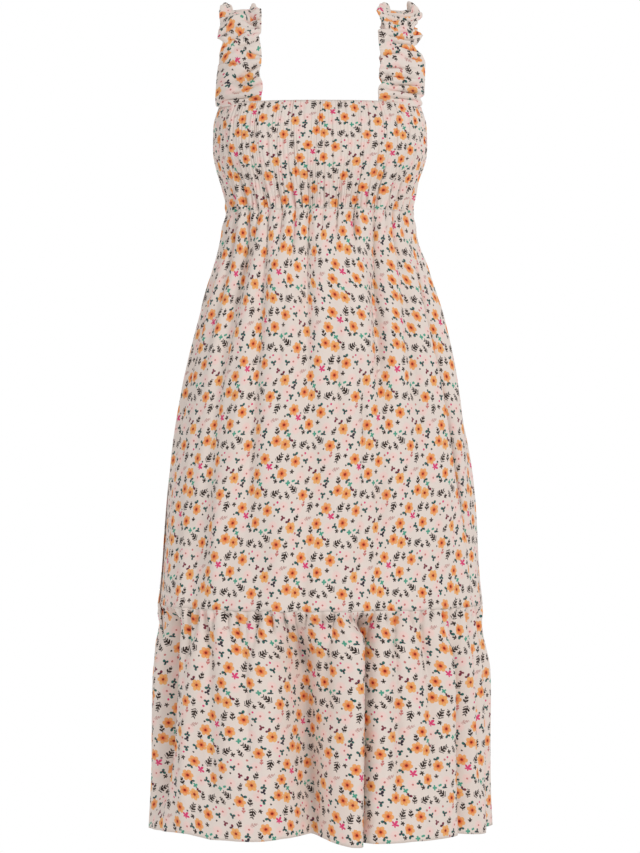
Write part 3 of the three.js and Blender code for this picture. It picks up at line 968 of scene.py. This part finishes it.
def petals_group():
    """A rosette about the middle: round petals, or the leaflets of a tuft, longest along X
    where it leans."""
    group = new_group("petals", [("Point", "Vector"), ("Radius", "Float"), ("Lobes", "Float"),
                                 ("Depth", "Float"), ("Bluntness", "Float"), ("Lean", "Float")],
                      [("Mask", "Float"), ("Reach", "Float"), ("Notch", "Float")])
    n = Nodes(group)
    point = n.start["Point"]
    x, y, _ = n.split(point)
    reach = n.length(point)
    angle = n.math("ARCTAN2", y, x)
    turn = n.times(angle, n.times(n.start["Lobes"], 0.5))
    bulge = n.power(n.size(n.math("COSINE", turn)), n.start["Bluntness"])
    notch = n.minus(1.0, bulge)
    edge = n.times(n.start["Radius"], n.minus(1.0, n.times(n.start["Depth"], notch)))
    lean = n.plus(n.times(n.math("COSINE", angle), n.start["Lean"]), 1.0)
    edge = n.times(edge, lean)
    n.put(n.end["Mask"], n.soft_step(n.minus(reach, edge), 0.25, -0.25))
    n.put(n.end["Reach"], reach)
    n.put(n.end["Notch"], notch)
    return group


def sprig_group():
    """A stem along X with fat leaflets that point forward, a little apart on its two sides."""
    group = new_group("sprig", [("Point", "Vector"), ("Length", "Float"), ("Width", "Float"),
                                ("Pitch", "Float")], [("Mask", "Float")])
    n = Nodes(group)
    x, y, _ = n.split(n.start["Point"])
    length, width, pitch = (n.start[k] for k in ("Length", "Width", "Pitch"))
    side = n.size(y)
    half = n.times(length, 0.5)
    slanted = n.minus(x, n.times(side, 0.75))
    apart = n.times(n.above(y, 0.0), 0.15)
    counted = n.plus(n.over(slanted, pitch), apart)
    place = n.minus(n.math("FRACT", counted), 0.5)
    thick = n.over(place, 0.36)
    taper = n.soft_step(x, half, n.times(half, -0.5))
    leaf = n.times(width, n.plus(n.times(taper, 0.25), 0.25))
    past_middle = n.minus(side, n.times(leaf, 0.55))
    out = n.over(past_middle, n.times(leaf, 0.5))
    oval = n.plus(n.power(n.size(thick), 2.2), n.power(n.size(out), 2.2))
    leaflets = n.soft_step(oval, 1.2, 0.8)
    stem = n.soft_step(side, 0.6, 0.35)
    inside = n.soft_step(n.minus(n.size(slanted), half), 0.2, -0.2)
    n.put(n.end["Mask"], n.times(n.larger(leaflets, stem), inside))
    return group


# How far a large motif's leaf stands from its middle.
LEAF_OUT = 9.0


def large_group(petals, sprig):
    """The large motifs: marigolds and pale blossoms, each with a leaf at its edge, and tufts."""
    cell = cell_group("large_cell", LARGE_COLUMNS, LARGE_ROWS, LARGE_MOTIFS, LARGE_KINDS)
    group = new_group("large_motifs", [("Point", "Vector")],
                      [("Mask", "Float"), ("Colour", "Color"), ("Blush", "Float")])
    n = Nodes(group)
    found = n.group(cell, Point=n.start["Point"])
    spot, kind = found["Spot"], found["Kind"]
    pale = n.above(kind, 0.25)
    blossom = n.above(kind, 0.5)
    tuft = n.above(kind, 0.75)
    flower = n.group(petals, Point=spot, Radius=8.2, Lobes=6.0, Depth=0.33, Bluntness=0.6, Lean=0.0)
    reach, notch = flower["Reach"], flower["Notch"]
    vein = n.times(n.times(notch, 0.9), n.soft_step(reach, 7.2, 3.2))
    petal = n.mix(vein, n.mix(pale, PETAL, PALE_PETAL), HALO)
    glow = n.times(n.soft_step(reach, 5.2, 1.8), n.blend(pale, 1.0, 0.5))
    haloed = n.mix(glow, petal, HALO)
    flower_colour = n.mix(n.soft_step(reach, 2.3, 1.2), haloed, HEART)
    flower_mask = n.times(flower["Mask"], n.minus(1.0, blossom))
    leaf_spot = n.turn(n.vector("SUBTRACT", spot, (LEAF_OUT, 0.0, 0.0)), 0.9)
    leaf = n.group(petals, Point=leaf_spot, Radius=4.5, Lobes=3.0, Depth=0.84, Bluntness=1.1,
                   Lean=0.15)
    leaf_mask = n.times(leaf["Mask"], n.minus(1.0, tuft))
    leaf_tip = n.mix(n.minus(pale, blossom), TEAL, PLUM)
    leaf_colour = n.mix(n.soft_step(leaf["Reach"], 0.6, 3.2), NAVY, leaf_tip)
    bush = n.group(sprig, Point=spot, Length=13.4, Width=11.0, Pitch=4.5)
    core = n.length(n.vector("MULTIPLY", spot, (0.42, 1.0, 0.0)))
    bush_mask = n.times(n.larger(bush["Mask"], n.soft_step(core, 1.3, 0.9)), tuft)
    is_blossom = n.minus(blossom, tuft)
    dot = n.times(n.soft_step(reach, 1.7, 1.1), is_blossom)
    shade = n.mix(leaf_mask, DUSKY, leaf_colour)
    shade = n.mix(flower_mask, shade, flower_colour)
    n.put(n.end["Colour"], n.mix(tuft, shade, CHARCOAL))
    n.put(n.end["Mask"], n.larger(n.larger(flower_mask, leaf_mask), n.larger(bush_mask, dot)))
    n.put(n.end["Blush"], n.times(n.soft_step(reach, 9.0, 4.0), is_blossom))
    return group


def small_group(petals, sprig):
    """The small motifs: sprigs, and rosettes from a hand of leaflets down to dots."""
    names = [row[0] for row in SMALL_KINDS]
    cell = cell_group("small_cell", SMALL_COLUMNS, SMALL_ROWS, SMALL_MOTIFS, names)
    group = new_group("small_motifs", [("Point", "Vector")],
                      [("Mask", "Float"), ("Colour", "Color")])
    n = Nodes(group)
    found = n.group(cell, Point=n.start["Point"])
    spot, kind = found["Spot"], found["Kind"]
    shapes = [(size / CHART_SPAN, wide / CHART_SPAN, fine / CHART_SPAN, lean)
              for _, size, wide, fine, lean, _ in SMALL_KINDS]
    size, wide, fine, lean, _ = n.chart(kind, shapes)
    size, wide, fine = (n.times(value, CHART_SPAN) for value in (size, wide, fine))
    leaves = n.group(sprig, Point=spot, Length=size, Width=wide, Pitch=fine)
    rosette = n.group(petals, Point=spot, Radius=size, Lobes=wide, Depth=fine, Bluntness=1.1,
                      Lean=lean)
    plain = n.above(kind, SPRIG_KINDS / len(SMALL_KINDS))
    n.put(n.end["Mask"], n.blend(plain, leaves["Mask"], rosette["Mask"]))
    n.put(n.end["Colour"], n.chart(kind, [row[-1] for row in SMALL_KINDS])[4])
    return group


def weave_group():
    """The crepe weave: a height for the bump and a faint change of tone, from millimetres."""
    group = new_group("weave", [("Point", "Vector")], [("Height", "Float"), ("Tone", "Float")])
    n = Nodes(group)
    point = n.start["Point"]
    waves = n.scaled(n.join(n.noise(point, 0.35), n.noise(point, 0.3)), 0.5)
    x, y, _ = n.split(n.vector("ADD", point, waves))
    threads = n.times(n.math("SINE", n.times(x, 14.0)), n.math("SINE", n.times(y, 13.0)))
    pebble = n.noise(point, 1.1, 3.0, 0.6)
    n.put(n.end["Height"], n.plus(n.times(threads, 0.3), pebble))
    n.put(n.end["Tone"], n.noise(point, 0.03, 3.0, 0.55))
    return group


CLOTH_FINISH = {"Roughness": 0.86, "Sheen Weight": 0.05, "Sheen Roughness": 0.5,
                "Specular IOR Level": 0.1}


def printed_cloth():
    """Cream crepe with its print, on the cloth's own UV map in metres."""
    petals, sprig = petals_group(), sprig_group()
    material, n, shader = new_material("printed_cloth")
    flat = n.scaled(n.add("UVMap", uv_map="UV Map").outputs[0], 1 / MM)
    point = n.vector("ADD", flat, n.wobble(flat, 0.2, 1.3))
    large = n.group(large_group(petals, sprig), Point=point)
    small = n.group(small_group(petals, sprig), Point=point)
    weave = n.group(weave_group(), Point=point)
    ground = n.mix(n.times(large["Blush"], 0.75), CLOTH, BLUSH)
    printed = n.mix(small["Mask"], ground, small["Colour"])
    printed = n.mix(large["Mask"], printed, large["Colour"])
    toned = n.mix(n.times(weave["Tone"], 0.10), printed, SHADED_CLOTH)
    bump = n.add("Bump", {"Strength": 0.25, "Distance": 0.0004, "Height": weave["Height"]})
    for socket, value in CLOTH_FINISH.items():
        n.put(shader.inputs[socket], value)
    n.put(shader.inputs["Base Color"], toned)
    n.put(shader.inputs["Normal"], bump.outputs[0])
    return material


# The stage, in metres: the camera's place and lens, the floor, and the lamps. The studio's
# white walls light the dress at a lower level than the camera sees them.
EYE_DISTANCE = 3.6
EYE_HEIGHT = -0.591
LENS = 107
FLOOR_DROP = 0.3
FLOOR_RADIUS = 1.3
STUDIO_LEVEL = 0.5
LAMPS = [
    # name, place, aim, width, power, colour
    ("key", (1.9, -3.0, 0.7), (0, 0, -0.6), 1.2, 49, (1, 0.985, 0.965)),
    ("fill", (-2.6, -1.9, -0.6), (0, 0, -0.65), 1.8, 18, (1, 0.97, 0.95)),
    ("rim", (2.2, 1.2, 0.2), (0, 0, -0.6), 1.2, 8, (1, 1, 1)),
    ("back", (-1.2, 3.3, 0.3), (0, 0, -0.6), 1.6, 33, (1, 0.99, 0.97)),
]


def make_camera():
    data = bpy.data.cameras.new("camera")
    data.lens = LENS
    camera = add_object("camera", data)
    camera.location = (0, -EYE_DISTANCE, EYE_HEIGHT)
    camera.rotation_euler = (math.radians(90), 0, 0)
    bpy.context.scene.camera = camera


def make_floor():
    bm = bmesh.new()
    bmesh.ops.create_circle(bm, cap_ends=True, segments=96, radius=FLOOR_RADIUS)
    bmesh.ops.translate(bm, verts=bm.verts, vec=(0, 0, HEM_Z * MM - FLOOR_DROP))
    floor = add_mesh("floor", bm)
    material, n, shader = new_material("pale_floor")
    grain = n.noise(n.add("TexCoord").outputs["Object"], 9.0, 4.0)
    n.put(shader.inputs["Base Color"], n.mix(grain, colour(246, 244, 242), colour(236, 234, 232)))
    n.put(shader.inputs["Roughness"], 0.8)
    floor.data.materials.append(material)


def make_lights():
    for name, place, aim, width, power, tint in LAMPS:
        data = bpy.data.lights.new(name, "AREA")
        data.size, data.energy, data.color = width, power, tint
        lamp = add_object(name, data)
        lamp.location = place
        lamp.rotation_euler = (Vector(aim) - Vector(place)).to_track_quat("-Z", "Y").to_euler()
    world = bpy.data.worlds.new("studio")
    bpy.context.scene.world = world
    world.use_nodes = True
    n = Nodes(world.node_tree)
    background = n.tree.nodes["Background"]
    seen = n.add("LightPath").outputs["Is Camera Ray"]
    n.put(background.inputs["Strength"], n.blend(seen, STUDIO_LEVEL, 1.0))
    n.put(background.inputs["Color"], (1, 1, 1, 1))


make_camera()
make_floor()
make_lights()
bpy.context.scene.view_settings.view_transform = "Standard"

cloth_material = printed_cloth()
garment = [make_tier(tier, behind) for tier in GRIDS for behind in (0, 1)]
garment += [make_strap(name, side) for name, side in STRAP_SIDES.items()]
for sheet in garment:
    sheet.data.materials.append(cloth_material)
